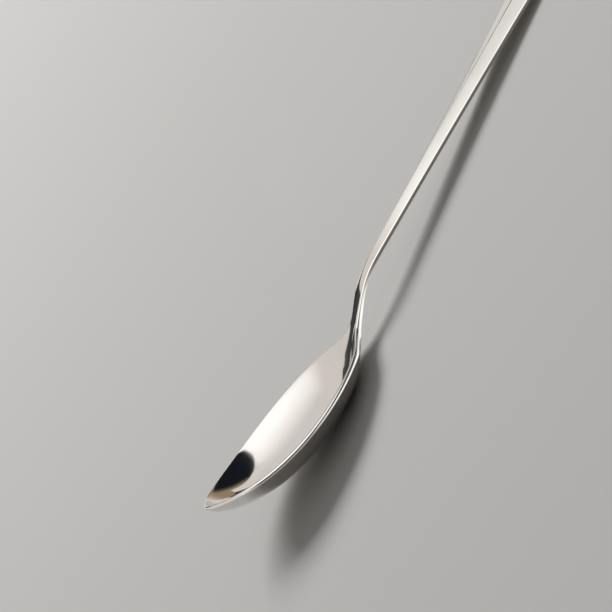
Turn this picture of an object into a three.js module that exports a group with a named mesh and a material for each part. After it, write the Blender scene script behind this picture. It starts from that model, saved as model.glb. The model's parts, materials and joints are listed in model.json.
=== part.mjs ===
// A polished steel teaspoon lying on a table, bowl open upward.
// Millimetres, +Z up, +X from the tip of the bowl to the end of the handle.
// The spoon is drawn level first, with the tip at x = 0 and the middle of the rim at z = 0,
// and is then tilted until the back of the bowl and the end of the handle touch the table.
import * as THREE from "three";
import { mergeVertices } from "three/addons/utils/BufferGeometryUtils.js";

// Whole spoon
const SPOON_LENGTH = 142;

// Bowl: egg-shaped rim that dips along its middle, over a shell pressed from sheet
const BOWL_LENGTH = 46;
const BOWL_WIDTH = 30.3;
const BOWL_DEPTH = 6.2;
const TIP_RISE = 3;
const HEEL_RISE = 0.4;
const RIM_THICKNESS = 1.25;
const FLOOR_THICKNESS = 1.3;
const EDGE_BEVEL = 0.25;
const TIP_ROUNDNESS = 0.56;
const HEEL_ROUNDNESS = 0.575;
const INSIDE_FULLNESS = 0.7;
const OUTSIDE_FULLNESS = 0.6;

// Shoulder: fillet in plan from the rim to the sides of the neck
const SHOULDER_BEFORE_HEEL = 6.9;
const SHOULDER_PAST_HEEL = 3.9;

// Hollow: how far before the heel it starts to fade, and where past the heel it is gone
const HOLLOW_FADE_BEFORE_HEEL = 11.5;
const HOLLOW_END_PAST_HEEL = 4.6;

// Neck: an S-bend that lifts the handle above the rim; an earliness over 1 puts its steep part near the bowl
const NECK_WIDTH = 3.3;
const NECK_THICKNESS = 1.8;
const NECK_RISE = 7.1;
const BEND_BEFORE_HEEL = 3.3;
const BEND_PAST_HEEL = 19.6;
const BEND_EARLINESS = 1.75;

// Handle: straight, flat behind, ridged in front, flaring to a round end.
// The flare is the width that the sides would reach at the very end if it weren't rounded.
const HANDLE_ANGLE = THREE.MathUtils.degToRad(7.6);
const HANDLE_EDGE = 0.9;
const HANDLE_FLARE = 16;
const FLARE_EVENNESS = 0.64;
const RIDGE_HEIGHT = 0.75;
const END_ROUND_LENGTH = 9;
const END_LENGTH = 26;

// Facets
const INNER_POINTS = 17;
const SIDE_POINTS = INNER_POINTS + 2;
const TIP_STATIONS = 14;
const HEEL_STATIONS = 18;
const NECK_STATIONS = 12;
const STEM_STATIONS = 12;
const END_STATIONS = 14;
const TIP_CROWDING = 1.7;
const END_CROWDING = -2;
const WELD_DISTANCE = 1e-4;
const SLOPE_STEP = 1e-5;

// Places along the spoon
const widest = BOWL_LENGTH * TIP_ROUNDNESS / (TIP_ROUNDNESS + HEEL_ROUNDNESS);
const shoulderStart = BOWL_LENGTH - SHOULDER_BEFORE_HEEL;
const shoulderEnd = BOWL_LENGTH + SHOULDER_PAST_HEEL;
const hollowFade = BOWL_LENGTH - HOLLOW_FADE_BEFORE_HEEL;
const hollowEnd = BOWL_LENGTH + HOLLOW_END_PAST_HEEL;
const bendStart = BOWL_LENGTH - BEND_BEFORE_HEEL;
const bendEnd = BOWL_LENGTH + BEND_PAST_HEEL;
const endStart = SPOON_LENGTH - END_LENGTH;
const endRoundStart = SPOON_LENGTH - END_ROUND_LENGTH;

// Smooth step from 0 at a to 1 at b, with no slope and no curvature at either end
function ease(x, a, b) {
  const t = THREE.MathUtils.clamp((x - a) / (b - a), 0, 1);
  return t ** 3 * (10 - 15 * t + 6 * t * t);
}

function blend(from, to, share) {
  return from + (to - from) * share;
}

// Egg curve t^a (1 - t)^b, scaled so that its peak is 1
function egg(t, a, b) {
  const peak = (a / (a + b)) ** a * (b / (a + b)) ** b;
  return t ** a * Math.max(1 - t, 0) ** b / peak;
}

// Half the width of the bowl, with its first and second derivative along x
function bowlOutline(x) {
  const toTip = TIP_ROUNDNESS / x;
  const toHeel = HEEL_ROUNDNESS / (BOWL_LENGTH - x);
  const value = BOWL_WIDTH / 2 * egg(x / BOWL_LENGTH, TIP_ROUNDNESS, HEEL_ROUNDNESS);
  const growth = toTip - toHeel;
  const bend = growth ** 2 - toTip ** 2 / TIP_ROUNDNESS - toHeel ** 2 / HEEL_ROUNDNESS;
  return { value, slope: value * growth, bend: value * bend };
}

// Half the width of the neck and handle before the end is rounded off:
// the neck's own width at the shoulder's end, then a straight taper plus a cubic flare
function flareHalfWidth(x) {
  const s = Math.max(x - shoulderEnd, 0) / (SPOON_LENGTH - shoulderEnd);
  const share = FLARE_EVENNESS * s + (1 - FLARE_EVENNESS) * s ** 3;
  return blend(NECK_WIDTH, HANDLE_FLARE, share) / 2;
}

// Fillet in plan: a quintic that leaves the rim with its slope and curvature and meets the neck straight
function shoulderHalfWidth(x) {
  const span = shoulderEnd - shoulderStart;
  const t = (x - shoulderStart) / span;
  const rim = bowlOutline(shoulderStart);
  const drop = NECK_WIDTH / 2 - rim.value;
  const m = rim.slope * span;
  const k = rim.bend * span ** 2;
  const cubic = 10 * drop - 6 * m - 1.5 * k;
  const quartic = -15 * drop + 8 * m + 1.5 * k;
  const quintic = 6 * drop - 3 * m - 0.5 * k;
  return rim.value + m * t + 0.5 * k * t ** 2 + cubic * t ** 3 + quartic * t ** 4 + quintic * t ** 5;
}

// Half the width of the spoon in plan, from the tip to the round end
function halfWidth(x) {
  if (x <= 0 || x >= SPOON_LENGTH) {
    return 0;
  }
  if (x < shoulderStart) {
    return bowlOutline(x).value;
  }
  if (x < shoulderEnd) {
    return shoulderHalfWidth(x);
  }
  const past = Math.max(x - endRoundStart, 0) / END_ROUND_LENGTH;
  return flareHalfWidth(x) * Math.sqrt(1 - past ** 2);
}

// Share of the S-bend that is done at x: a smooth step that runs ahead at first and ends gently
function bendShare(x) {
  const left = THREE.MathUtils.clamp((bendEnd - x) / (bendEnd - bendStart), 0, 1);
  return ease(1 - left ** BEND_EARLINESS, 0, 1);
}

// Height of the edge: the rim's sheer, a cubic through both rises, bending up into the straight handle
function edgeHeight(x) {
  const u = x / BOWL_LENGTH - 0.5;
  const sheer = 2 * (TIP_RISE + HEEL_RISE) * u ** 2 + 4 * (HEEL_RISE - TIP_RISE) * u ** 3;
  const handle = NECK_RISE + Math.tan(HANDLE_ANGLE) * (x - bendEnd);
  return blend(sheer, handle, bendShare(x));
}

// Share of the full depth along the bowl, rounder with less fullness, gone past the heel
function hollow(x, fullness) {
  const t = THREE.MathUtils.clamp(x / hollowEnd, 0, 1);
  return (4 * t * (1 - t)) ** fullness * (1 - ease(x, hollowFade, hollowEnd));
}

// Thickness at the edge: the rim's sheet, the stouter neck, the thin handle
function edgeThickness(x) {
  const towardsNeck = blend(RIM_THICKNESS, NECK_THICKNESS, ease(x, hollowFade, hollowEnd));
  return blend(towardsNeck, HANDLE_EDGE, bendShare(x));
}

// Front: a bowl that is a parabola across, and a roof-shaped ridge along the handle
function frontHeight(x, y) {
  const across = halfWidth(x) > 0 ? y / halfWidth(x) : 0;
  const dish = BOWL_DEPTH * hollow(x, INSIDE_FULLNESS) * (1 - across ** 2);
  const roof = Math.max(1 - Math.abs(y) / flareHalfWidth(x), 0);
  return edgeHeight(x) - dish + RIDGE_HEIGHT * ease(x, BOWL_LENGTH, bendEnd) * roof;
}

// Back: the bowl's underside, and the flat back of the neck and handle
function backHeight(x, y) {
  const across = halfWidth(x) > 0 ? y / halfWidth(x) : 0;
  const depth = BOWL_DEPTH + FLOOR_THICKNESS - RIM_THICKNESS;
  const belly = depth * hollow(x, OUTSIDE_FULLNESS) * (1 - across ** 2);
  return edgeHeight(x) - edgeThickness(x) - belly;
}

// Section across the spoon at x: along the front from -y to +y, then along the back again.
// Both start and end at a corner of the edge; the rest keeps one bevel inside the outline, square to it.
function section(x) {
  const half = halfWidth(x);
  const slope = (halfWidth(x + SLOPE_STEP) - halfWidth(x - SLOPE_STEP)) / (2 * SLOPE_STEP);
  const inward = EDGE_BEVEL / Math.hypot(1, slope);
  const innerX = x + inward * slope;
  const innerHalf = Math.max(half - inward, 0);
  const top = edgeHeight(x) - EDGE_BEVEL;
  const bottom = edgeHeight(x) - edgeThickness(x) + EDGE_BEVEL;
  const front = [[x, -half, top]];
  const back = [[x, -half, bottom]];
  for (let i = 0; i < INNER_POINTS; i += 1) {
    const y = innerHalf * (2 * i / (INNER_POINTS - 1) - 1);
    front.push([innerX, y, frontHeight(innerX, y)]);
    back.push([innerX, y, backHeight(innerX, y)]);
  }
  front.push([x, half, top]);
  back.push([x, half, bottom]);
  return { front, back };
}

// Stations from a to b; crowding 1 is even, more than 1 crowds them at a, less than -1 at b
function stations(a, b, count, crowding) {
  const places = [];
  for (let i = 0; i <= count; i += 1) {
    const s = i / count;
    const share = crowding > 0 ? s ** crowding : 1 - (1 - s) ** -crowding;
    places.push(i === count ? b : blend(a, b, share));
  }
  return places;
}

// Two triangles for the four corners a, b, c, d that go round anticlockwise as seen from outside
function quad(faces, a, b, c, d) {
  faces.push(a, b, c, a, c, d);
}

// Closed solid through the sections at the given stations.
// An end gets a flat face, unless the section there is pinched to a line.
function loft(places) {
  const ring = 2 * SIDE_POINTS;
  const last = places.length - 1;
  const positions = [];
  const faces = [];
  for (const x of places) {
    const { front, back } = section(x);
    positions.push(...front.flat(), ...back.flat());
  }
  for (let s = 0; s < last; s += 1) {
    const here = s * ring;
    const next = here + ring;
    for (let i = 0; i + 1 < SIDE_POINTS; i += 1) {
      const under = SIDE_POINTS + i;
      quad(faces, here + i, next + i, next + i + 1, here + i + 1);
      quad(faces, here + under, here + under + 1, next + under + 1, next + under);
    }
    const far = SIDE_POINTS - 1;
    quad(faces, here + SIDE_POINTS, next + SIDE_POINTS, next, here);
    quad(faces, here + far, next + far, next + far + SIDE_POINTS, here + far + SIDE_POINTS);
  }
  for (let i = 0; i + 1 < SIDE_POINTS; i += 1) {
    const end = last * ring + i;
    if (halfWidth(places[0]) > 0) {
      quad(faces, i, i + 1, i + 1 + SIDE_POINTS, i + SIDE_POINTS);
    }
    if (halfWidth(places[last]) > 0) {
      quad(faces, end, end + SIDE_POINTS, end + SIDE_POINTS + 1, end + 1);
    }
  }
  return weld(positions, faces);
}

// Joins the points that coincide at the tip and at the round end, and drops the faces that vanish there
function weld(positions, faces) {
  const loose = new THREE.BufferGeometry();
  loose.setAttribute("position", new THREE.Float32BufferAttribute(positions, 3));
  loose.setIndex(faces);
  const joined = mergeVertices(loose, WELD_DISTANCE);
  const kept = [];
  for (let i = 0; i < joined.index.count; i += 3) {
    const a = joined.index.getX(i);
    const b = joined.index.getX(i + 1);
    const c = joined.index.getX(i + 2);
    if (a !== b && b !== c && c !== a) {
      kept.push(a, b, c);
    }
  }
  joined.setIndex(kept);
  joined.computeVertexNormals();
  return joined;
}

function piece(name, color, roughness, places) {
  const finish = new THREE.MeshStandardMaterial({ color, roughness, metalness: 1 });
  const mesh = new THREE.Mesh(loft(places), finish);
  mesh.name = name;
  return mesh;
}

// Tilt at which a straight table top touches the back of the bowl and the bevelled end of the handle
function restTilt(bowlPlaces) {
  const foot = SPOON_LENGTH - EDGE_BEVEL;
  const slopes = bowlPlaces.map((x) => (backHeight(foot, 0) - backHeight(x, 0)) / (foot - x));
  return Math.atan(Math.max(...slopes));
}

const tipPlaces = stations(0, widest, TIP_STATIONS, TIP_CROWDING);
const heelPlaces = stations(widest, shoulderEnd, HEEL_STATIONS, 1);
const bowlPlaces = [...tipPlaces, ...heelPlaces.slice(1)];
const neckPlaces = stations(shoulderEnd, bendEnd, NECK_STATIONS, 1);
const stemPlaces = stations(bendEnd, endStart, STEM_STATIONS, 1);
const endPlaces = stations(endStart, SPOON_LENGTH, END_STATIONS, END_CROWDING);

const spoon = new THREE.Group();
spoon.add(piece("bowl", 0xdcd8d2, 0.08, bowlPlaces));
spoon.add(piece("neck", 0xd6d2cc, 0.1, neckPlaces));
spoon.add(piece("stem", 0xd9d5cf, 0.1, stemPlaces));
spoon.add(piece("handle_end", 0xd9d5cf, 0.1, endPlaces));

// Laid down: tilted, centred over the origin and lowered on to the table
spoon.rotation.y = restTilt(bowlPlaces);
const extent = new THREE.Box3().setFromObject(spoon, true);
const middle = extent.getCenter(new THREE.Vector3());
spoon.position.set(-middle.x, -middle.y, -extent.min.z);

const teaspoon = new THREE.Group();
teaspoon.add(spoon);

export default teaspoon;
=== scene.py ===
import json
import math

import bmesh
import bpy
import numpy as np
from bpy.props import FloatProperty, FloatVectorProperty, PointerProperty
from mathutils import Matrix, Vector


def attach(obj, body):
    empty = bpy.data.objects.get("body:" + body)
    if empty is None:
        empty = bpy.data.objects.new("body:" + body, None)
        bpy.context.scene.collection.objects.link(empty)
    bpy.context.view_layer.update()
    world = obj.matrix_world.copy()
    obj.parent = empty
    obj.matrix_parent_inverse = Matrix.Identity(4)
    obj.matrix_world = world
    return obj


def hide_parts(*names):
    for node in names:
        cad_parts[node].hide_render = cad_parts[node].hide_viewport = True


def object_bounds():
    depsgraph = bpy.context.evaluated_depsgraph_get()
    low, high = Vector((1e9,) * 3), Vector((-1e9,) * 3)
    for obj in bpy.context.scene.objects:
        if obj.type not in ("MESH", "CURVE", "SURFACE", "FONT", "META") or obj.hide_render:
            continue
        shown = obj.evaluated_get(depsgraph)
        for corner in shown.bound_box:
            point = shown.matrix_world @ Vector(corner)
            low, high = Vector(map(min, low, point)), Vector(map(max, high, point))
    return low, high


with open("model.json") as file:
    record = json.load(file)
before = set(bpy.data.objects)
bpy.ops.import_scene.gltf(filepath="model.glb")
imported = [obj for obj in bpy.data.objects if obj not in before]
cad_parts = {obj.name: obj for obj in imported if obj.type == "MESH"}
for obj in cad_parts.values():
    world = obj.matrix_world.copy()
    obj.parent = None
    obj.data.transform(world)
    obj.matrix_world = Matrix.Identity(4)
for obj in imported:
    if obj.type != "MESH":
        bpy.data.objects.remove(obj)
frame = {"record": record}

bl_info = {
    "name": "Polished Teaspoon",
    "version": (1, 0, 0),
    "blender": (4, 5, 0),
    "location": "View3D > Sidebar > Teaspoon",
    "description": "Builds the polished steel surfaces of a teaspoon and the studio around it",
    "category": "Add Mesh",
}

CAD_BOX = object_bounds()
IMAGE_PIXELS = 612
SENSOR = 36.0
MM = 0.001
STEEL = {entry["slot"]: entry["base_color"][:3] for entry in frame["record"]["materials"]}


def length(name, millimetres, description):
    """A length property in metres, written here in millimetres."""
    return FloatProperty(name=name, description=description, default=millimetres * MM,
                         min=0.0, precision=5, unit="LENGTH")


def number(name, value, description):
    """A plain number without a unit."""
    return FloatProperty(name=name, description=description, default=value, precision=3)


def angle(name, degrees, description):
    """An angle property, written here in degrees."""
    return FloatProperty(name=name, description=description, default=math.radians(degrees), subtype="ANGLE")


def colour(name, value, description):
    """A linear colour property."""
    return FloatVectorProperty(name=name, description=description, default=value, size=3,
                               min=0.0, max=1.0, subtype="COLOR")


class SpoonShape(bpy.types.PropertyGroup):
    """Sizes of the spoon, drawn level with the tip at x = 0 and the middle of the rim at z = 0."""

    spoon_length: length("Spoon length", 142.0, "From the tip of the bowl to the end of the handle")
    bowl_length: length("Bowl length", 46.0, "From the tip to the heel of the bowl")
    bowl_width: length("Bowl width", 30.3, "Across the rim at its widest")
    bowl_depth: length("Bowl depth", 6.2, "From the rim to the floor of the bowl")
    tip_rise: length("Tip rise", 3.0, "Height of the rim at the tip over its middle")
    heel_rise: length("Heel rise", 0.4, "Height of the rim at the heel over its middle")
    rim_thickness: length("Rim thickness", 1.25, "Height of the rim's edge")
    floor_thickness: length("Floor thickness", 1.3, "Thickness of the bowl's floor")
    tip_roundness: number("Tip roundness", 0.56, "Exponent of the egg curve at the tip")
    heel_roundness: number("Heel roundness", 0.575, "Exponent of the egg curve at the heel")
    inside_fullness: number("Inside fullness", 0.7, "Exponent of the hollow along the bowl")
    outside_fullness: number("Outside fullness", 0.6, "Exponent of the belly along the bowl")
    shoulder_before_heel: length("Shoulder start", 6.9, "Where the shoulder fillet starts, before the heel")
    shoulder_past_heel: length("Shoulder end", 3.9, "Where the shoulder fillet ends, past the heel")
    hollow_before_heel: length("Hollow fade", 11.5, "Where the hollow starts to fade, before the heel")
    hollow_past_heel: length("Hollow end", 4.6, "Where the hollow is gone, past the heel")
    neck_width: length("Neck width", 3.3, "Width of the neck at its slimmest")
    neck_thickness: length("Neck thickness", 1.8, "Thickness of the neck at its sides")
    neck_rise: length("Neck rise", 7.1, "Height of the handle's edges over the rim where the S-bend ends")
    bend_before_heel: length("Bend start", 3.3, "Where the S-bend starts, before the heel")
    bend_past_heel: length("Bend end", 19.6, "Where the S-bend ends, past the heel")
    bend_earliness: number("Bend earliness", 1.75, "Over 1 puts the steep part of the S-bend near the bowl")
    handle_angle: angle("Handle angle", 7.6, "Slope of the straight handle over the rim")
    handle_edge: length("Handle edge", 0.9, "Thickness of the handle at its sides")
    handle_flare: length("Handle flare", 16.0, "Width that the sides would reach at the unrounded end")
    flare_evenness: number("Flare evenness", 0.64, "Share of the flare that grows evenly")
    ridge_height: length("Ridge height", 0.75, "Height of the front ridge over the handle's edges")
    end_round_length: length("End rounding", 9.0, "Length of the rounded end")
    end_length: length("End length", 26.0, "Length of the flared end piece")
    rim_bevel: length("Rim bevel", 0.8, "Width of the polished bead on top of the rim and the shoulders")
    rim_lip: length("Rim lip", 0.2, "Drop of the hollow's edge inside the rim's bead")
    rim_fullness: number("Rim fullness", 0.85, "0 leaves the rim's bead flat; 1 makes it full")
    handle_bevel: length("Handle bevel", 0.22, "Width of the polished bevel along the handle")
    back_bevel: length("Back bevel", 0.25, "Width of the polished bevel on the back of the edge")
    bevel_fullness: number("Bevel fullness", 0.45, "0 leaves the bevels flat; 0.83 makes them arcs")
    facet_crown: number("Facet crown", 0.35, "How much the two facets beside the ridge are crowned")
    ridge_radius: length("Ridge radius", 0.25, "Half the width of the rounded arris of the ridge")
    polish_cut: length("Polish cut", 0.05, "How much the polish takes off the pressed blank")


class SteelFinish(bpy.types.PropertyGroup):
    """Look of the polished steel."""

    bowl_colour: colour("Bowl colour", STEEL["bowl_steel"], "Colour of the bowl's steel")
    handle_colour: colour("Handle colour", STEEL["handle_steel"], "Colour of the handle's steel")
    polish: number("Polish", 0.05, "Roughness of clean polished steel")
    edge_polish: number("Edge polish", 0.11, "Roughness of the trimmed edges")
    haze: number("Haze", 0.06, "Roughness added where the steel has been handled")
    haze_tone: number("Haze tone", 0.93, "Colour of hazed steel as a share of the clean colour")
    bowl_scratch: length("Bowl scratch depth", 0.0015, "Depth of the fine polishing lines in the bowl")
    bowl_scratch_turn: angle("Bowl scratch turn", 28.65, "Turn of the polishing lines in the bowl")
    handle_scratch: length("Handle scratch depth", 0.004, "Depth of the fine polishing lines on the handle")


class StudioStage(bpy.types.PropertyGroup):
    """Camera, floor and key light. The camera's angles are those of the drawn, level spoon."""

    camera_azimuth: angle("Camera azimuth", -15.5, "Turn of the camera from square on to the spoon's side")
    camera_elevation: angle("Camera elevation", 16.8, "Height of the camera over the rim")
    camera_roll: angle("Camera roll", -48.7, "Roll of the camera about its own axis")
    camera_distance: length("Camera distance", 600.0, "From the camera to the tip of the spoon")
    pixels_per_mm: number("Pixels per millimetre", 5.22, "Scale of the picture at the tip")
    tip_pixel_x: number("Tip pixel x", 216.4, "Where the tip's reference point lies across the picture")
    tip_pixel_y: number("Tip pixel y", 516.8, "Where the tip's reference point lies down the picture")
    floor_colour: colour("Floor colour", (0.52, 0.515, 0.505), "Colour of the pale floor")
    floor_size: length("Floor size", 6000.0, "Side of the floor")
    key_azimuth: angle("Key azimuth", 65.0, "Direction of the key lamp, from +X towards +Y")
    key_elevation: angle("Key elevation", 52.0, "Height of the key lamp over the table")
    key_distance: length("Key distance", 1500.0, "From the middle of the spoon to the key lamp")
    key_size: length("Key size", 900.0, "Side of the key lamp")
    key_radiance: number("Key radiance", 8.2, "Radiance of the key lamp's face")


# Formulas of the shape: the guard keeps the egg curve's slopes finite at the tip and the heel.
OUTLINE_GUARD = 1e-9
TILT_SAMPLES = 400


def ease(x, a, b):
    """Smooth step from 0 at a to 1 at b: 10 t^3 - 15 t^4 + 6 t^5."""
    t = np.clip((x - a) / (b - a), 0.0, 1.0)
    return t ** 3 * (10.0 - 15.0 * t + 6.0 * t * t)


def mix(a, b, share):
    """Straight blend from a to b."""
    return a + (b - a) * share


class Spoon:
    """The spoon's surfaces as functions of the place along it, x, and across it, y."""

    def __init__(self, shape):
        """Keeps the sizes and works out where the zones start and end along the spoon."""
        self.s = shape
        heel = shape.bowl_length
        self.shoulder_start = heel - shape.shoulder_before_heel
        self.shoulder_end = heel + shape.shoulder_past_heel
        self.hollow_fade = heel - shape.hollow_before_heel
        self.hollow_end = heel + shape.hollow_past_heel
        self.bend_start = heel - shape.bend_before_heel
        self.bend_end = heel + shape.bend_past_heel
        self.end_start = shape.spoon_length - shape.end_length

    def bowl_outline(self, x):
        """Half width of the bowl, t^a (1 - t)^b scaled to its peak, with its slope and bend along x."""
        s = self.s
        a = s.tip_roundness
        b = s.heel_roundness
        t = np.clip(x / s.bowl_length, OUTLINE_GUARD, 1.0 - OUTLINE_GUARD)
        peak = (a / (a + b)) ** a * (b / (a + b)) ** b
        value = s.bowl_width / 2 * t ** a * (1.0 - t) ** b / peak
        to_tip = a / (t * s.bowl_length)
        to_heel = b / ((1.0 - t) * s.bowl_length)
        growth = to_tip - to_heel
        return value, value * growth, value * (growth ** 2 - to_tip ** 2 / a - to_heel ** 2 / b)

    def flare(self, x):
        """Half width of neck and handle before the end is rounded: an even taper plus a cubic flare."""
        s = self.s
        t = np.maximum(x - self.shoulder_end, 0.0) / (s.spoon_length - self.shoulder_end)
        share = s.flare_evenness * t + (1.0 - s.flare_evenness) * t ** 3
        return mix(s.neck_width, s.handle_flare, share) / 2

    def shoulder(self, x):
        """Fillet in plan: a quintic with the rim's slope and bend at one end, straight at the neck."""
        span = self.shoulder_end - self.shoulder_start
        t = np.clip((x - self.shoulder_start) / span, 0.0, 1.0)
        start, slope, bend = self.bowl_outline(self.shoulder_start)
        drop = self.s.neck_width / 2 - start
        m = slope * span
        k = bend * span ** 2
        cubic = 10 * drop - 6 * m - 1.5 * k
        quartic = -15 * drop + 8 * m + 1.5 * k
        quintic = 6 * drop - 3 * m - 0.5 * k
        return start + m * t + 0.5 * k * t ** 2 + cubic * t ** 3 + quartic * t ** 4 + quintic * t ** 5

    def half_width(self, x):
        """Half width in plan: egg curve, shoulder fillet, then the flare with its elliptic round end."""
        s = self.s
        past = np.clip((x - s.spoon_length) / s.end_round_length + 1.0, 0.0, 1.0)
        handle = self.flare(x) * np.sqrt(1.0 - past ** 2)
        bowl = np.where(x <= 0.0, 0.0, self.bowl_outline(x)[0])
        past_rim = np.where(x < self.shoulder_end, self.shoulder(x), handle)
        return np.where(x < self.shoulder_start, bowl, past_rim)

    def bend_share(self, x):
        """Share of the S-bend that is done at x: a smooth step that runs ahead at first and ends gently."""
        left = np.clip((self.bend_end - x) / (self.bend_end - self.bend_start), 0.0, 1.0)
        return ease(1.0 - left ** self.s.bend_earliness, 0.0, 1.0)

    def edge_height(self, x):
        """Height of the edge: a cubic sheer along the rim, easing up into the straight handle."""
        s = self.s
        u = x / s.bowl_length - 0.5
        sheer = 2 * (s.tip_rise + s.heel_rise) * u ** 2 + 4 * (s.heel_rise - s.tip_rise) * u ** 3
        handle = s.neck_rise + math.tan(s.handle_angle) * (x - self.bend_end)
        return mix(sheer, handle, self.bend_share(x))

    def hollow(self, x, fullness, inset):
        """Share of the depth along the bowl: (4 t (1 - t))^fullness from the inset, faded at the heel."""
        t = np.clip((x - inset) / (self.hollow_end - inset), 0.0, 1.0)
        return (4 * t * (1 - t)) ** fullness * (1.0 - ease(x, self.hollow_fade, self.hollow_end))

    def edge_thickness(self, x):
        """Thickness at the edge: sheet at the rim, stouter at the neck, thin along the handle."""
        s = self.s
        to_neck = mix(s.rim_thickness, s.neck_thickness, ease(x, self.hollow_fade, self.hollow_end))
        return mix(to_neck, s.handle_edge, self.bend_share(x))

    def edge_bevel(self, x):
        """Width of the bevel on top of the edge: wide along the rim, narrow on the handle."""
        return mix(self.s.rim_bevel, self.s.handle_bevel, self.bend_share(x))

    def front(self, x, y, share):
        """Front height: edge less lip and parabolic dish, plus a crowned roof with a hyperbolic arris.

        The share is the place across the face, 0 in the middle and 1 where its bevel starts.
        """
        s = self.s
        dish = s.bowl_depth * self.hollow(x, s.inside_fullness, s.rim_bevel) * (1.0 - share ** 2)
        lip = s.rim_lip * (1.0 - ease(x, self.hollow_fade, self.hollow_end))
        away = np.sqrt(y ** 2 + s.ridge_radius ** 2) / self.flare(x)
        roof = np.maximum(1.0 - away, 0.0) * (1.0 + s.facet_crown * away)
        ridge = s.ridge_height * ease(x, s.bowl_length, self.bend_end) * roof
        return self.edge_height(x) - dish - lip + ridge

    def back(self, x, y, share):
        """Back height: edge less its thickness, less a parabolic belly.

        It is called like front, so it takes y as well.
        """
        s = self.s
        depth = s.bowl_depth + s.floor_thickness - s.rim_thickness
        belly = depth * self.hollow(x, s.outside_fullness, s.back_bevel) * (1.0 - share ** 2)
        return self.edge_height(x) - self.edge_thickness(x) - belly

    def rest_tilt(self):
        """Tilt that lays belly and end on the table: the angle of the steepest line between the two."""
        foot = self.s.spoon_length - self.s.back_bevel
        x = np.linspace(0.0, self.s.bowl_length, TILT_SAMPLES)
        slopes = (self.back(foot, 0.0, 0.0) - self.back(x, 0.0, 0.0)) / (foot - x)
        return math.atan(slopes.max())


# Section grid: points across a face, round a bevel and down an edge, and steps along each zone.
FRONT_POINTS = 81
CORNER_POINTS = 8
SIDE_POINTS = 4
EDGE_POINTS = 2 * CORNER_POINTS + SIDE_POINTS
MIDDLE_CROWDING = 0.5
SLOPE_STEP = 1e-6
RING_STEPS = {"bowl": 210, "neck": 70, "stem": 120, "handle_end": 110}
TIP_CROWDING = 2.2
END_CROWDING = 2.2
MERGE_DISTANCE = 1e-7


def rounded(a, b, c, fullness, count):
    """Points between a and c on a quadratic curve that is pulled to the corner b by the fullness."""
    b = mix((a + c) / 2, b, fullness)
    t = (np.arange(1, count + 1) / (count + 1))[None, :, None]
    return a[:, None] * (1 - t) ** 2 + b[:, None] * (2 * t * (1 - t)) + c[:, None] * t ** 2


def rings(spoon, x):
    """Closed sections of the drawn spoon at the places x, as an array of rings of points.

    A section runs along the front from -y to +y, down the edge, along the back to -y and up the other
    edge. Front and back end one bevel inside the outline, measured square to it, and the bevels in
    between are quadratic curves.
    """
    s = spoon.s
    half = spoon.half_width(x)
    slope = (spoon.half_width(x + SLOPE_STEP) - spoon.half_width(x - SLOPE_STEP)) / (2 * SLOPE_STEP)
    square = np.sqrt(1.0 + slope ** 2)
    share = np.linspace(-1.0, 1.0, FRONT_POINTS)
    share = mix(share, share ** 3, MIDDLE_CROWDING)

    def face(bevel, height):
        """Front or back: shares of the outline less the bevel, at the height of that face."""
        inner_x = x + bevel * slope / square
        y = np.maximum(half - bevel / square, 0.0)[:, None] * share
        along = np.broadcast_to(inner_x[:, None], y.shape)
        return np.stack([along, y, height(along, y, share)], -1)

    bevel = spoon.edge_bevel(x)
    front = face(bevel, spoon.front)
    back = face(s.back_bevel, spoon.back)

    def edge(side):
        """Edge on one side: a curved bevel, a straight wall and the bevel under it."""
        top = np.stack([x, side * half, spoon.edge_height(x)], -1)
        low = np.stack([x, side * half, spoon.edge_height(x) - spoon.edge_thickness(x)], -1)
        over_drop = bevel[:, None] * np.array([0.0, 0.0, 1.0])
        under_rise = np.array([0.0, 0.0, s.back_bevel])
        t = np.linspace(0.0, 1.0, SIDE_POINTS)[None, :, None]
        wall = (top - over_drop)[:, None] * (1 - t) + (low + under_rise)[:, None] * t
        end = -1 if side > 0 else 0
        fullness = mix(s.rim_fullness, s.bevel_fullness, spoon.bend_share(x))[:, None]
        over = rounded(front[:, end], top, top - over_drop, fullness, CORNER_POINTS)
        under = rounded(low + under_rise, low, back[:, end], s.bevel_fullness, CORNER_POINTS)
        return np.concatenate([over, wall, under], 1)

    return np.concatenate([front, edge(1.0), back[:, ::-1], edge(-1.0)[:, ::-1]], 1)


def ring_normals(grid):
    """Outward normals of the section grid, from the cross product of its two directions.

    At the pinched ends they lie in the spoon's middle plane, and each face has only its middle one, so
    that both sides meet there.
    """
    along = np.gradient(grid, axis=0)
    around = np.roll(grid, -1, 1) - np.roll(grid, 1, 1)
    normals = np.cross(along, around)
    for end, inner in ((0, 1), (-1, -2)):
        normals[end] = normals[inner] * np.array([1.0, 0.0, 1.0])
        for first in (0, FRONT_POINTS + EDGE_POINTS):
            normals[end, first:first + FRONT_POINTS] = normals[end, first + FRONT_POINTS // 2]
    size = np.linalg.norm(normals, axis=-1, keepdims=True)
    return normals / np.maximum(size, np.finfo(float).tiny)


def places(spoon):
    """Stations along the spoon, crowded by a power at tip and end, and the span that each zone has."""
    s = spoon.s
    cuts = [0.0, spoon.shoulder_end, spoon.bend_end, spoon.end_start, s.spoon_length]
    x = []
    spans = {}
    first = 0
    for (name, steps), a, b in zip(RING_STEPS.items(), cuts, cuts[1:]):
        t = np.linspace(0.0, 1.0, steps + 1)
        if name == "bowl":
            t = t ** TIP_CROWDING
        if name == "handle_end":
            t = 1.0 - (1.0 - t) ** END_CROWDING
        shared = 1 if x else 0
        x.append(mix(a, b, t)[shared:])
        spans[name] = (first, first + steps)
        first += steps
    return np.concatenate(x), spans


def polished_grid(spoon, x):
    """Section grid of the drawn spoon and its normals, with the polish cut taken off along the normals."""
    grid = rings(spoon, x)
    normals = ring_normals(grid)
    return grid - normals * spoon.s.polish_cut, normals


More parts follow.
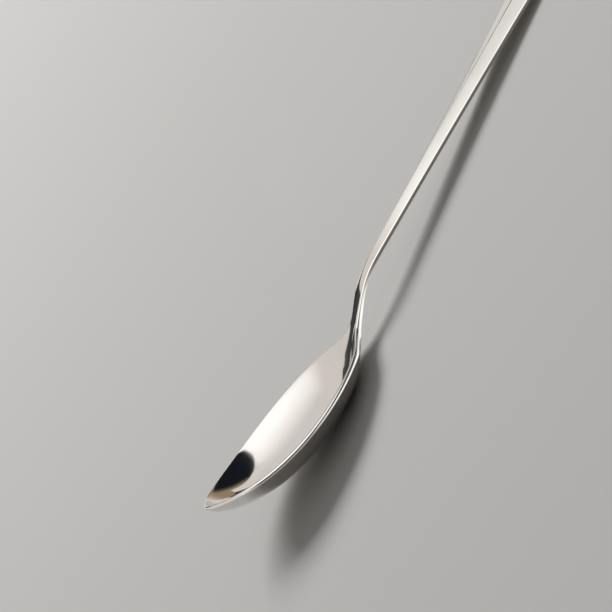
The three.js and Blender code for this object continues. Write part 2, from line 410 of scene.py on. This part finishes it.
def at_rest(spoon):
    """Turn by the rest tilt, and the shift that sets the polished spoon on the table in the CAD's box."""
    turn = np.array(Matrix.Rotation(spoon.rest_tilt(), 3, "Y"))
    points = (polished_grid(spoon, places(spoon)[0])[0] @ turn.T).reshape(-1, 3)
    low = points.min(0)
    high = points.max(0)
    along = (CAD_BOX[0][0] + CAD_BOX[1][0]) / 2 - (low[0] + high[0]) / 2
    return turn, np.array([along, 0.0, CAD_BOX[0][2] - low[2]])


def join_pinched(mesh, normals):
    """Merges the points that fall together where the spoon ends in a line, and sets the section normals."""
    stored = mesh.attributes.new("section_normal", "FLOAT_VECTOR", "POINT")
    stored.data.foreach_set("vector", normals.ravel())
    work = bmesh.new()
    work.from_mesh(mesh)
    bmesh.ops.remove_doubles(work, verts=work.verts, dist=MERGE_DISTANCE)
    bmesh.ops.dissolve_degenerate(work, edges=work.edges, dist=MERGE_DISTANCE)
    work.to_mesh(mesh)
    work.free()
    kept = np.empty(3 * len(mesh.vertices))
    stored = mesh.attributes["section_normal"]
    stored.data.foreach_get("vector", kept)
    mesh.attributes.remove(stored)
    mesh.normals_split_custom_set_from_vertices(kept.reshape(-1, 3).tolist())


def steel_piece(name, node, materials):
    """Makes one zone of the spoon from the section grid, with a flat face where it meets another zone."""
    spoon = Spoon(bpy.context.scene.spoon_shape)
    x, spans = places(spoon)
    turn, shift = at_rest(spoon)
    grid, normals = polished_grid(spoon, x)
    first, last = spans[node]
    grid = grid[first:last + 1] @ turn.T + shift
    normals = normals[first:last + 1] @ turn.T
    count, around = grid.shape[:2]
    column = np.arange(around)
    here = np.arange(count - 1)[:, None] * around + column
    side = np.arange(count - 1)[:, None] * around + (column + 1) % around
    faces = np.stack([here, here + around, side + around, side], -1).reshape(-1, 4).tolist()
    if first > 0:
        faces.append(column.tolist())
    if last < len(x) - 1:
        faces.append((count * around - 1 - column).tolist())
    after_front = column - FRONT_POINTS
    on_edge = (after_front >= 0) & (after_front < EDGE_POINTS) | (after_front >= EDGE_POINTS + FRONT_POINTS)
    slots = np.zeros(len(faces), np.int32)
    slots[:here.size] = np.tile(on_edge, count - 1)
    mesh = bpy.data.meshes.new(name)
    mesh.from_pydata(grid.reshape(-1, 3).tolist(), [], faces)
    for material in materials:
        mesh.materials.append(material)
    mesh.polygons.foreach_set("material_index", slots)
    mesh.polygons.foreach_set("use_smooth", np.ones(len(faces), bool))
    join_pinched(mesh, normals)
    piece = bpy.data.objects.new(name, mesh)
    bpy.context.scene.collection.objects.link(piece)
    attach(piece, "root")
    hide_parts(node)
    return piece


# Polish: lines and patches per metre, and the noise values between which the haze sets in.
LINES_ALONG = 60.0
LINES_ACROSS = 5000.0
HAZE_PATCHES = 90.0
HAZE_SPECKS = 900.0
SPECK_SHARE = 0.35
CLEAN_BELOW = 0.42
HAZED_ABOVE = 0.72


def new_group(name, inputs, outputs):
    """A new shader node group with the given sockets, and its input and output nodes."""
    group = bpy.data.node_groups.new(name, "ShaderNodeTree")
    for socket, kind, value in inputs:
        made = group.interface.new_socket(socket, in_out="INPUT", socket_type=kind)
        if value is not None:
            made.default_value = value
    for socket, kind in outputs:
        group.interface.new_socket(socket, in_out="OUTPUT", socket_type=kind)
    return group, group.nodes.new("NodeGroupInput"), group.nodes.new("NodeGroupOutput")


def polish_lines_group():
    """Fine lines left by the polishing wheel: noise drawn out along the spoon, in lines per metre."""
    name = "polish_lines"
    if name in bpy.data.node_groups:
        return bpy.data.node_groups[name]
    sockets = [("Vector", "NodeSocketVector", None), ("Along", "NodeSocketFloat", LINES_ALONG),
               ("Across", "NodeSocketFloat", LINES_ACROSS), ("Turn", "NodeSocketFloat", 0.0)]
    group, inside, out = new_group(name, sockets, [("Lines", "NodeSocketFloat")])
    nodes = group.nodes
    link = group.links.new
    turn = nodes.new("ShaderNodeVectorRotate")
    turn.rotation_type = "Z_AXIS"
    scale = nodes.new("ShaderNodeCombineXYZ")
    stretch = nodes.new("ShaderNodeVectorMath")
    stretch.operation = "MULTIPLY"
    noise = nodes.new("ShaderNodeTexNoise")
    noise.inputs["Scale"].default_value = 1.0
    noise.inputs["Detail"].default_value = 3.0
    noise.inputs["Roughness"].default_value = 0.6
    link(inside.outputs["Vector"], turn.inputs["Vector"])
    link(inside.outputs["Turn"], turn.inputs["Angle"])
    link(inside.outputs["Along"], scale.inputs["X"])
    link(inside.outputs["Across"], scale.inputs["Y"])
    link(inside.outputs["Across"], scale.inputs["Z"])
    link(turn.outputs["Vector"], stretch.inputs[0])
    link(scale.outputs["Vector"], stretch.inputs[1])
    link(stretch.outputs["Vector"], noise.inputs["Vector"])
    link(noise.outputs["Fac"], out.inputs["Lines"])
    return group


def handling_haze_group():
    """Soft patches where handling has dulled the polish: sharpened noise with a share of finer specks."""
    name = "handling_haze"
    if name in bpy.data.node_groups:
        return bpy.data.node_groups[name]
    sockets = [("Vector", "NodeSocketVector", None), ("Patches", "NodeSocketFloat", HAZE_PATCHES),
               ("Specks", "NodeSocketFloat", HAZE_SPECKS)]
    group, inside, out = new_group(name, sockets, [("Haze", "NodeSocketFloat")])
    nodes = group.nodes
    link = group.links.new
    patches = nodes.new("ShaderNodeTexNoise")
    patches.inputs["Detail"].default_value = 4.0
    specks = nodes.new("ShaderNodeTexNoise")
    specks.inputs["Detail"].default_value = 2.0
    sharpen = nodes.new("ShaderNodeMapRange")
    sharpen.interpolation_type = "SMOOTHSTEP"
    sharpen.inputs["From Min"].default_value = CLEAN_BELOW
    sharpen.inputs["From Max"].default_value = HAZED_ABOVE
    both = nodes.new("ShaderNodeMath")
    both.operation = "MULTIPLY_ADD"
    both.inputs[1].default_value = SPECK_SHARE
    link(inside.outputs["Vector"], patches.inputs["Vector"])
    link(inside.outputs["Patches"], patches.inputs["Scale"])
    link(inside.outputs["Vector"], specks.inputs["Vector"])
    link(inside.outputs["Specks"], specks.inputs["Scale"])
    link(patches.outputs["Fac"], sharpen.inputs["Value"])
    link(specks.outputs["Fac"], both.inputs[0])
    link(sharpen.outputs["Result"], both.inputs[2])
    link(both.outputs["Value"], out.inputs["Haze"])
    return group


def steel(name, tint, roughness, scratch, turn):
    """Polished steel: mirror metal with drawn-out polishing lines and patches of haze."""
    finish = bpy.context.scene.steel_finish
    material = bpy.data.materials.new(name)
    material.use_nodes = True
    nodes = material.node_tree.nodes
    link = material.node_tree.links.new
    shader = nodes["Principled BSDF"]
    shader.inputs["Metallic"].default_value = 1.0
    place = nodes.new("ShaderNodeTexCoord")
    lines = nodes.new("ShaderNodeGroup")
    lines.node_tree = polish_lines_group()
    lines.inputs["Turn"].default_value = turn
    haze = nodes.new("ShaderNodeGroup")
    haze.node_tree = handling_haze_group()
    link(place.outputs["Object"], lines.inputs["Vector"])
    link(place.outputs["Object"], haze.inputs["Vector"])
    dull = nodes.new("ShaderNodeMath")
    dull.operation = "MULTIPLY_ADD"
    dull.inputs[1].default_value = finish.haze
    dull.inputs[2].default_value = roughness
    link(haze.outputs["Haze"], dull.inputs[0])
    link(dull.outputs["Value"], shader.inputs["Roughness"])
    tone = nodes.new("ShaderNodeMix")
    tone.data_type = "RGBA"
    tone.inputs["A"].default_value = (*tint, 1.0)
    tone.inputs["B"].default_value = (*(channel * finish.haze_tone for channel in tint), 1.0)
    link(haze.outputs["Haze"], tone.inputs["Factor"])
    link(tone.outputs["Result"], shader.inputs["Base Color"])
    bump = nodes.new("ShaderNodeBump")
    bump.inputs["Strength"].default_value = 1.0
    bump.inputs["Distance"].default_value = scratch
    link(lines.outputs["Lines"], bump.inputs["Height"])
    link(bump.outputs["Normal"], shader.inputs["Normal"])
    return material


def finishes(slot):
    """Face and edge materials of a record slot, made once."""
    finish = bpy.context.scene.steel_finish
    in_bowl = slot == "bowl_steel"
    tint = finish.bowl_colour if in_bowl else finish.handle_colour
    scratch = finish.bowl_scratch if in_bowl else finish.handle_scratch
    turn = finish.bowl_scratch_turn if in_bowl else 0.0
    made = []
    for part, roughness in (("face", finish.polish), ("edge", finish.edge_polish)):
        name = slot + "_" + part
        if name not in bpy.data.materials:
            steel(name, tuple(tint), roughness, scratch, turn)
        made.append(bpy.data.materials[name])
    return made


# Stage: lengths in metres, tints as radiance, axes of the row's frame.
TENT_WHITE = (1.4, 1.385, 1.365)
TENT_BEIGE = (0.76, 0.72, 0.69)
TENT_DARK = (0.1, 0.095, 0.09)
TENT_DIMMING = 0.75
ALONG = (1.0, 0.0, 0.0)
ACROSS = (0.0, 1.0, 0.0)
UP = (0.0, 0.0, 1.0)
WHITE_SIDE = (1.0, -1.9, 0.0)
FAR_SIDE = (-0.6, 1.0, 0.0)
BLACK = (0.0, 0.0, 0.0)
MATT_ROUGHNESS = 0.9
MATT_SPECULAR = 0.1
ELLIPSE_POINTS = 48
CAMERA_NEAR = 0.01


def stage_material(name, tint, strength):
    """A plain matt surface, which shines by itself where strength is over 0."""
    material = bpy.data.materials.new(name)
    material.use_nodes = True
    shader = material.node_tree.nodes["Principled BSDF"]
    shader.inputs["Base Color"].default_value = (*tint, 1.0)
    shader.inputs["Roughness"].default_value = MATT_ROUGHNESS
    shader.inputs["Specular IOR Level"].default_value = MATT_SPECULAR
    shader.inputs["Emission Color"].default_value = (*tint, 1.0)
    shader.inputs["Emission Strength"].default_value = strength
    return material


def stage_gradient(name, axis, low, high, low_tint, high_tint, fade=None):
    """Material of a card that shines from its front only, with a tint that changes along an axis.

    Where fade gives an axis and two places on it, the card is clear at the first and whole at the second.
    """
    material = stage_material(name, BLACK, 1.0)
    nodes = material.node_tree.nodes
    link = material.node_tree.links.new
    place = nodes.new("ShaderNodeTexCoord")

    def ramp(along, start, end):
        """Smooth step along an axis, from 0 at start to 1 at end."""
        dot = nodes.new("ShaderNodeVectorMath")
        dot.operation = "DOT_PRODUCT"
        dot.inputs[1].default_value = along
        step = nodes.new("ShaderNodeMapRange")
        step.interpolation_type = "SMOOTHSTEP"
        step.inputs["From Min"].default_value = start
        step.inputs["From Max"].default_value = end
        link(place.outputs["Object"], dot.inputs[0])
        link(dot.outputs["Value"], step.inputs["Value"])
        return step.outputs["Result"]

    tint = nodes.new("ShaderNodeMix")
    tint.data_type = "RGBA"
    tint.inputs["A"].default_value = (*low_tint, 1.0)
    tint.inputs["B"].default_value = (*high_tint, 1.0)
    side = nodes.new("ShaderNodeNewGeometry")
    clear = nodes.new("ShaderNodeBsdfTransparent")
    either = nodes.new("ShaderNodeMixShader")
    shader = nodes["Principled BSDF"]
    link(ramp(axis, low, high), tint.inputs["Factor"])
    link(tint.outputs["Result"], shader.inputs["Emission Color"])
    if fade:
        link(ramp(*fade), shader.inputs["Alpha"])
    link(side.outputs["Backfacing"], either.inputs["Fac"])
    link(shader.outputs["BSDF"], either.inputs[1])
    link(clear.outputs["BSDF"], either.inputs[2])
    link(either.outputs["Shader"], nodes["Material Output"].inputs["Surface"])
    return material


def stage_sheet(name, corners, material):
    """A flat sheet of the stage through the given corners."""
    mesh = bpy.data.meshes.new(name)
    mesh.from_pydata(corners, [], [tuple(range(len(corners)))])
    mesh.materials.append(material)
    sheet = bpy.data.objects.new(name, mesh)
    bpy.context.scene.collection.objects.link(sheet)
    return sheet


def reflection_card(name, corners, material):
    """A sheet that only reflections see."""
    sheet = stage_sheet(name, corners, material)
    for ray in ("visible_camera", "visible_diffuse", "visible_shadow", "visible_transmission"):
        setattr(sheet, ray, False)


def direction(azimuth, elevation):
    """Unit vector at an azimuth from +X towards +Y and an elevation over the table."""
    flat = math.cos(elevation)
    return Vector((flat * math.cos(azimuth), flat * math.sin(azimuth), math.sin(elevation)))


def seen_from(centre, distance, outline):
    """Corners at one distance from a centre, at azimuths and elevations in degrees.

    Corners that run counterclockwise as seen from the centre make a sheet whose front faces it.
    """
    return [centre + direction(*np.radians(pair)) * distance for pair in outline]


def ellipse(azimuth, elevation, half_width, half_height):
    """Azimuths and elevations round an ellipse in the sky, in degrees, counterclockwise from inside."""
    turns = np.linspace(2 * np.pi, 0.0, ELLIPSE_POINTS, False)
    return [(azimuth + half_width * math.cos(a), elevation + half_height * math.sin(a)) for a in turns]


def tip_shade(bowl):
    """Dark disc that the tip of the bowl mirrors: its top leans, and it pales to tan across the spoon."""
    tint = stage_gradient("stage_dusk", ACROSS, low=0.195, high=0.29,
                          low_tint=(0.006, 0.008, 0.013), high_tint=(0.5, 0.4, 0.28))
    lean = 0.45
    upright_below = 24.0
    outline = []
    for azimuth, elevation in ellipse(azimuth=17.0, elevation=28.0, half_width=22.5, half_height=21.5):
        outline.append((azimuth - lean * max(elevation - upright_below, 0.0), elevation))
    reflection_card("stage_disc", seen_from(bowl, distance=0.45, outline=outline), tint)


def tip_fringe(bowl):
    """Tan disc behind the dark one, whose foot shows in the tip as a tan fringe."""
    tint = stage_gradient("stage_sand", UP, low=0.03, high=0.11,
                          low_tint=(0.62, 0.54, 0.44), high_tint=(0.32, 0.24, 0.15))
    outline = ellipse(azimuth=24.0, elevation=10.0, half_width=24.0, half_height=11.0)
    reflection_card("stage_fringe", seen_from(bowl, distance=0.5, outline=outline), tint)


def heel_shade(bowl):
    """Dark wedge that the heel of the bowl mirrors, wider away from the handle."""
    tint = stage_gradient("stage_grey", UP, low=0.1, high=0.3,
                          low_tint=(0.03, 0.03, 0.032), high_tint=(0.06, 0.06, 0.062))
    outline = [(40.0, 11.0), (40.0, 15.0), (60.0, 23.0), (80.0, 32.0),
               (88.0, 39.0), (99.0, 42.0), (99.0, 14.0), (60.0, 7.0)]
    reflection_card("stage_wedge", seen_from(bowl, distance=0.55, outline=outline), tint)


def handle_strip(bowl):
    """White strip beside the handle, edge-on to the bowl, so that only the handle's facets mirror it."""
    middle = Vector((0.11, 0.092, 0.11))
    stem = Vector((0.05, 0.0, 0.007))
    before = 0.145
    beyond = 0.1
    below = 0.06
    above = 0.09
    soft_end = 0.05
    along = (middle - bowl).normalized()
    across = (middle - stem).cross(along).normalized()
    start = middle.dot(along) - before
    reach = middle.dot(across)
    tint = stage_gradient("stage_card", across, low=reach - 0.04, high=reach + 0.06,
                          low_tint=(1.3, 1.28, 1.26), high_tint=(0.85, 0.83, 0.81),
                          fade=(along, start, start + soft_end))
    spots = ((-before, -below), (-before, above), (beyond, above), (beyond, -below))
    reflection_card("stage_card", [middle + along * a + across * b for a, b in spots], tint)


def heel_board():
    """Board on the floor beside the heel: white where rim and neck mirror it, dark along the handle."""
    tint = stage_gradient("stage_board", ALONG, low=-0.019, high=-0.008,
                          low_tint=(1.3, 1.29, 1.27), high_tint=(0.17, 0.16, 0.145),
                          fade=(ALONG, -0.05, -0.03))
    over_floor = 0.0005
    spots = ((-0.048, -0.033), (-0.055, -0.11), (0.06, -0.11),
             (0.06, 0.002), (-0.02, 0.002), (-0.029, -0.014))
    reflection_card("stage_board", [(x, y, over_floor) for x, y in spots], tint)


def softbox(name, away, distance, size, radiance):
    """A square area lamp in the direction away from the origin, whose face has the given radiance."""
    lamp = bpy.data.lights.new(name, "AREA")
    lamp.shape = "SQUARE"
    lamp.size = size
    lamp.energy = radiance * math.pi * size ** 2
    box = bpy.data.objects.new(name, lamp)
    box.location = away * distance
    box.rotation_euler = away.to_track_quat("Z", "Y").to_euler()
    box.visible_camera = False
    box.visible_glossy = False
    bpy.context.scene.collection.objects.link(box)


def studio_world():
    """Light tent: white on the camera's side, beige behind the spoon, dark low in front.

    Diffuse rays lose a share of it, so that the key lamp does most of the lighting of the floor.
    """
    world = bpy.data.worlds.new("studio")
    bpy.context.scene.world = world
    world.use_nodes = True
    nodes = world.node_tree.nodes
    link = world.node_tree.links.new
    sky = nodes["Background"]
    place = nodes.new("ShaderNodeTexCoord")

    def towards(axis):
        """How far a direction of the sky leans towards an axis."""
        lean = nodes.new("ShaderNodeVectorMath")
        lean.operation = "DOT_PRODUCT"
        lean.inputs[1].default_value = axis
        link(place.outputs["Generated"], lean.inputs[0])
        return lean.outputs["Value"]

    def ramp(value, low, high):
        """Smooth step of a value from 0 at low to 1 at high."""
        step = nodes.new("ShaderNodeMapRange")
        step.interpolation_type = "SMOOTHSTEP"
        step.inputs["From Min"].default_value = low
        step.inputs["From Max"].default_value = high
        link(value, step.inputs["Value"])
        return step.outputs["Result"]

    def blend(share, a, b):
        """Colour a where share is 0 and b where it is 1; either may be a socket."""
        mixer = nodes.new("ShaderNodeMix")
        mixer.data_type = "RGBA"
        link(share, mixer.inputs["Factor"])
        for name, tint in (("A", a), ("B", b)):
            if isinstance(tint, tuple):
                mixer.inputs[name].default_value = (*tint, 1.0)
            else:
                link(tint, mixer.inputs[name])
        return mixer.outputs["Result"]

    tent = blend(ramp(towards(WHITE_SIDE), low=-0.5, high=0.72), TENT_BEIGE, TENT_WHITE)
    behind = ramp(towards(FAR_SIDE), low=-0.3, high=0.1)
    above = ramp(towards(UP), low=0.4, high=0.72)
    either = nodes.new("ShaderNodeMath")
    either.operation = "MAXIMUM"
    link(behind, either.inputs[0])
    link(above, either.inputs[1])
    light = blend(either.outputs["Value"], TENT_DARK, tent)
    path = nodes.new("ShaderNodeLightPath")
    dimmed = nodes.new("ShaderNodeMath")
    dimmed.operation = "MULTIPLY"
    dimmed.inputs[1].default_value = TENT_DIMMING
    link(path.outputs["Is Diffuse Ray"], dimmed.inputs[0])
    link(blend(dimmed.outputs["Value"], light, BLACK), sky.inputs["Color"])


class TEASPOON_OT_stage(bpy.types.Operator):
    """Sets up the pale floor, the soft light and the camera"""

    bl_idname = "teaspoon.stage"
    bl_label = "Studio stage"

    def execute(self, context):
        stage = context.scene.studio_stage
        context.scene.view_settings.view_transform = "Standard"
        floor = stage_material("stage_floor", tuple(stage.floor_colour), 0.0)
        side = stage.floor_size / 2
        corners = [(-side, -side, 0.0), (side, -side, 0.0), (side, side, 0.0), (-side, side, 0.0)]
        stage_sheet("stage_floor", corners, floor)
        studio_world()
        key = direction(stage.key_azimuth, stage.key_elevation)
        softbox("key_softbox", key, stage.key_distance, stage.key_size, stage.key_radiance)
        bowl_middle = CAD_BOX[0][0] + context.scene.spoon_shape.bowl_length / 2
        bowl = Vector((bowl_middle, 0.0, CAD_BOX[1][2] / 2))
        tip_shade(bowl)
        tip_fringe(bowl)
        heel_shade(bowl)
        handle_strip(bowl)
        heel_board()
        self.place_camera(context, stage)
        return {"FINISHED"}

    def place_camera(self, context, stage):
        """Aims the camera at the middle of the picture; the tip's pixel and the scale fix the framing."""
        spoon = Spoon(context.scene.spoon_shape)
        a = stage.camera_azimuth
        e = stage.camera_elevation
        back = Vector((math.sin(a) * math.cos(e), -math.cos(a) * math.cos(e), math.sin(e)))
        right = Vector((math.cos(a), math.sin(a), 0.0))
        up = back.cross(right)
        roll = stage.camera_roll
        rolled_right = right * math.cos(roll) + up * math.sin(roll)
        rolled_up = up * math.cos(roll) - right * math.sin(roll)
        scale = MM / stage.pixels_per_mm
        middle = IMAGE_PIXELS / 2
        target = rolled_right * (middle - stage.tip_pixel_x) * scale
        target += rolled_up * (stage.tip_pixel_y - middle) * scale
        points = np.array([back * stage.camera_distance, target, target + rolled_up])
        turn, shift = at_rest(spoon)
        eye, target, above = (Vector(point) for point in points @ turn.T + shift)
        backward = (eye - target).normalized()
        across = (above - target).cross(backward).normalized()
        axes = Matrix((across, backward.cross(across), backward)).transposed()
        data = bpy.data.cameras.new("camera")
        data.sensor_width = SENSOR
        data.lens = SENSOR * (eye - target).length / (IMAGE_PIXELS * scale)
        data.clip_start = CAMERA_NEAR
        camera = bpy.data.objects.new("camera", data)
        camera.matrix_world = Matrix.Translation(eye) @ axes.to_4x4()
        context.scene.collection.objects.link(camera)
        context.scene.camera = camera


class TEASPOON_OT_bowl(bpy.types.Operator):
    """Makes the polished bowl with its rounded rim"""

    bl_idname = "teaspoon.bowl"
    bl_label = "Bowl"

    def execute(self, context):
        steel_piece("polished_bowl", "bowl", finishes("bowl_steel"))
        return {"FINISHED"}


class TEASPOON_OT_neck(bpy.types.Operator):
    """Makes the polished S-bend between bowl and handle"""

    bl_idname = "teaspoon.neck"
    bl_label = "Neck"

    def execute(self, context):
        steel_piece("polished_neck", "neck", finishes("handle_steel"))
        return {"FINISHED"}


class TEASPOON_OT_stem(bpy.types.Operator):
    """Makes the polished straight handle with its front ridge"""

    bl_idname = "teaspoon.stem"
    bl_label = "Stem"

    def execute(self, context):
        steel_piece("polished_stem", "stem", finishes("handle_steel"))
        return {"FINISHED"}


class TEASPOON_OT_handle_end(bpy.types.Operator):
    """Makes the polished, flared round end of the handle"""

    bl_idname = "teaspoon.handle_end"
    bl_label = "Handle end"

    def execute(self, context):
        steel_piece("polished_handle_end", "handle_end", finishes("handle_steel"))
        return {"FINISHED"}


class TEASPOON_PT_panel(bpy.types.Panel):
    """Lists the pieces of the spoon and the stage"""

    bl_idname = "TEASPOON_PT_panel"
    bl_label = "Teaspoon"
    bl_space_type = "VIEW_3D"
    bl_region_type = "UI"
    bl_category = "Teaspoon"

    def draw(self, context):
        for operator in OPERATORS:
            self.layout.operator(operator.bl_idname)
        for group in ("spoon_shape", "steel_finish", "studio_stage"):
            settings = getattr(context.scene, group)
            for prop in settings.__annotations__:
                self.layout.prop(settings, prop)


GROUPS = {"spoon_shape": SpoonShape, "steel_finish": SteelFinish, "studio_stage": StudioStage}
OPERATORS = (TEASPOON_OT_stage, TEASPOON_OT_bowl, TEASPOON_OT_neck, TEASPOON_OT_stem,
             TEASPOON_OT_handle_end)


def register():
    """Registers the classes and hangs the settings on the scene."""
    for group in GROUPS.values():
        bpy.utils.register_class(group)
    for name, group in GROUPS.items():
        setattr(bpy.types.Scene, name, PointerProperty(type=group))
    for operator in OPERATORS:
        bpy.utils.register_class(operator)
    bpy.utils.register_class(TEASPOON_PT_panel)


def unregister():
    """Takes the classes and the settings away again."""
    bpy.utils.unregister_class(TEASPOON_PT_panel)
    for operator in reversed(OPERATORS):
        bpy.utils.unregister_class(operator)
    for name, group in GROUPS.items():
        delattr(bpy.types.Scene, name)
        bpy.utils.unregister_class(group)


def main():
    register()
    bpy.ops.teaspoon.stage()
    bpy.ops.teaspoon.bowl()
    bpy.ops.teaspoon.neck()
    bpy.ops.teaspoon.stem()
    bpy.ops.teaspoon.handle_end()


if __name__ == "__main__":
    main()
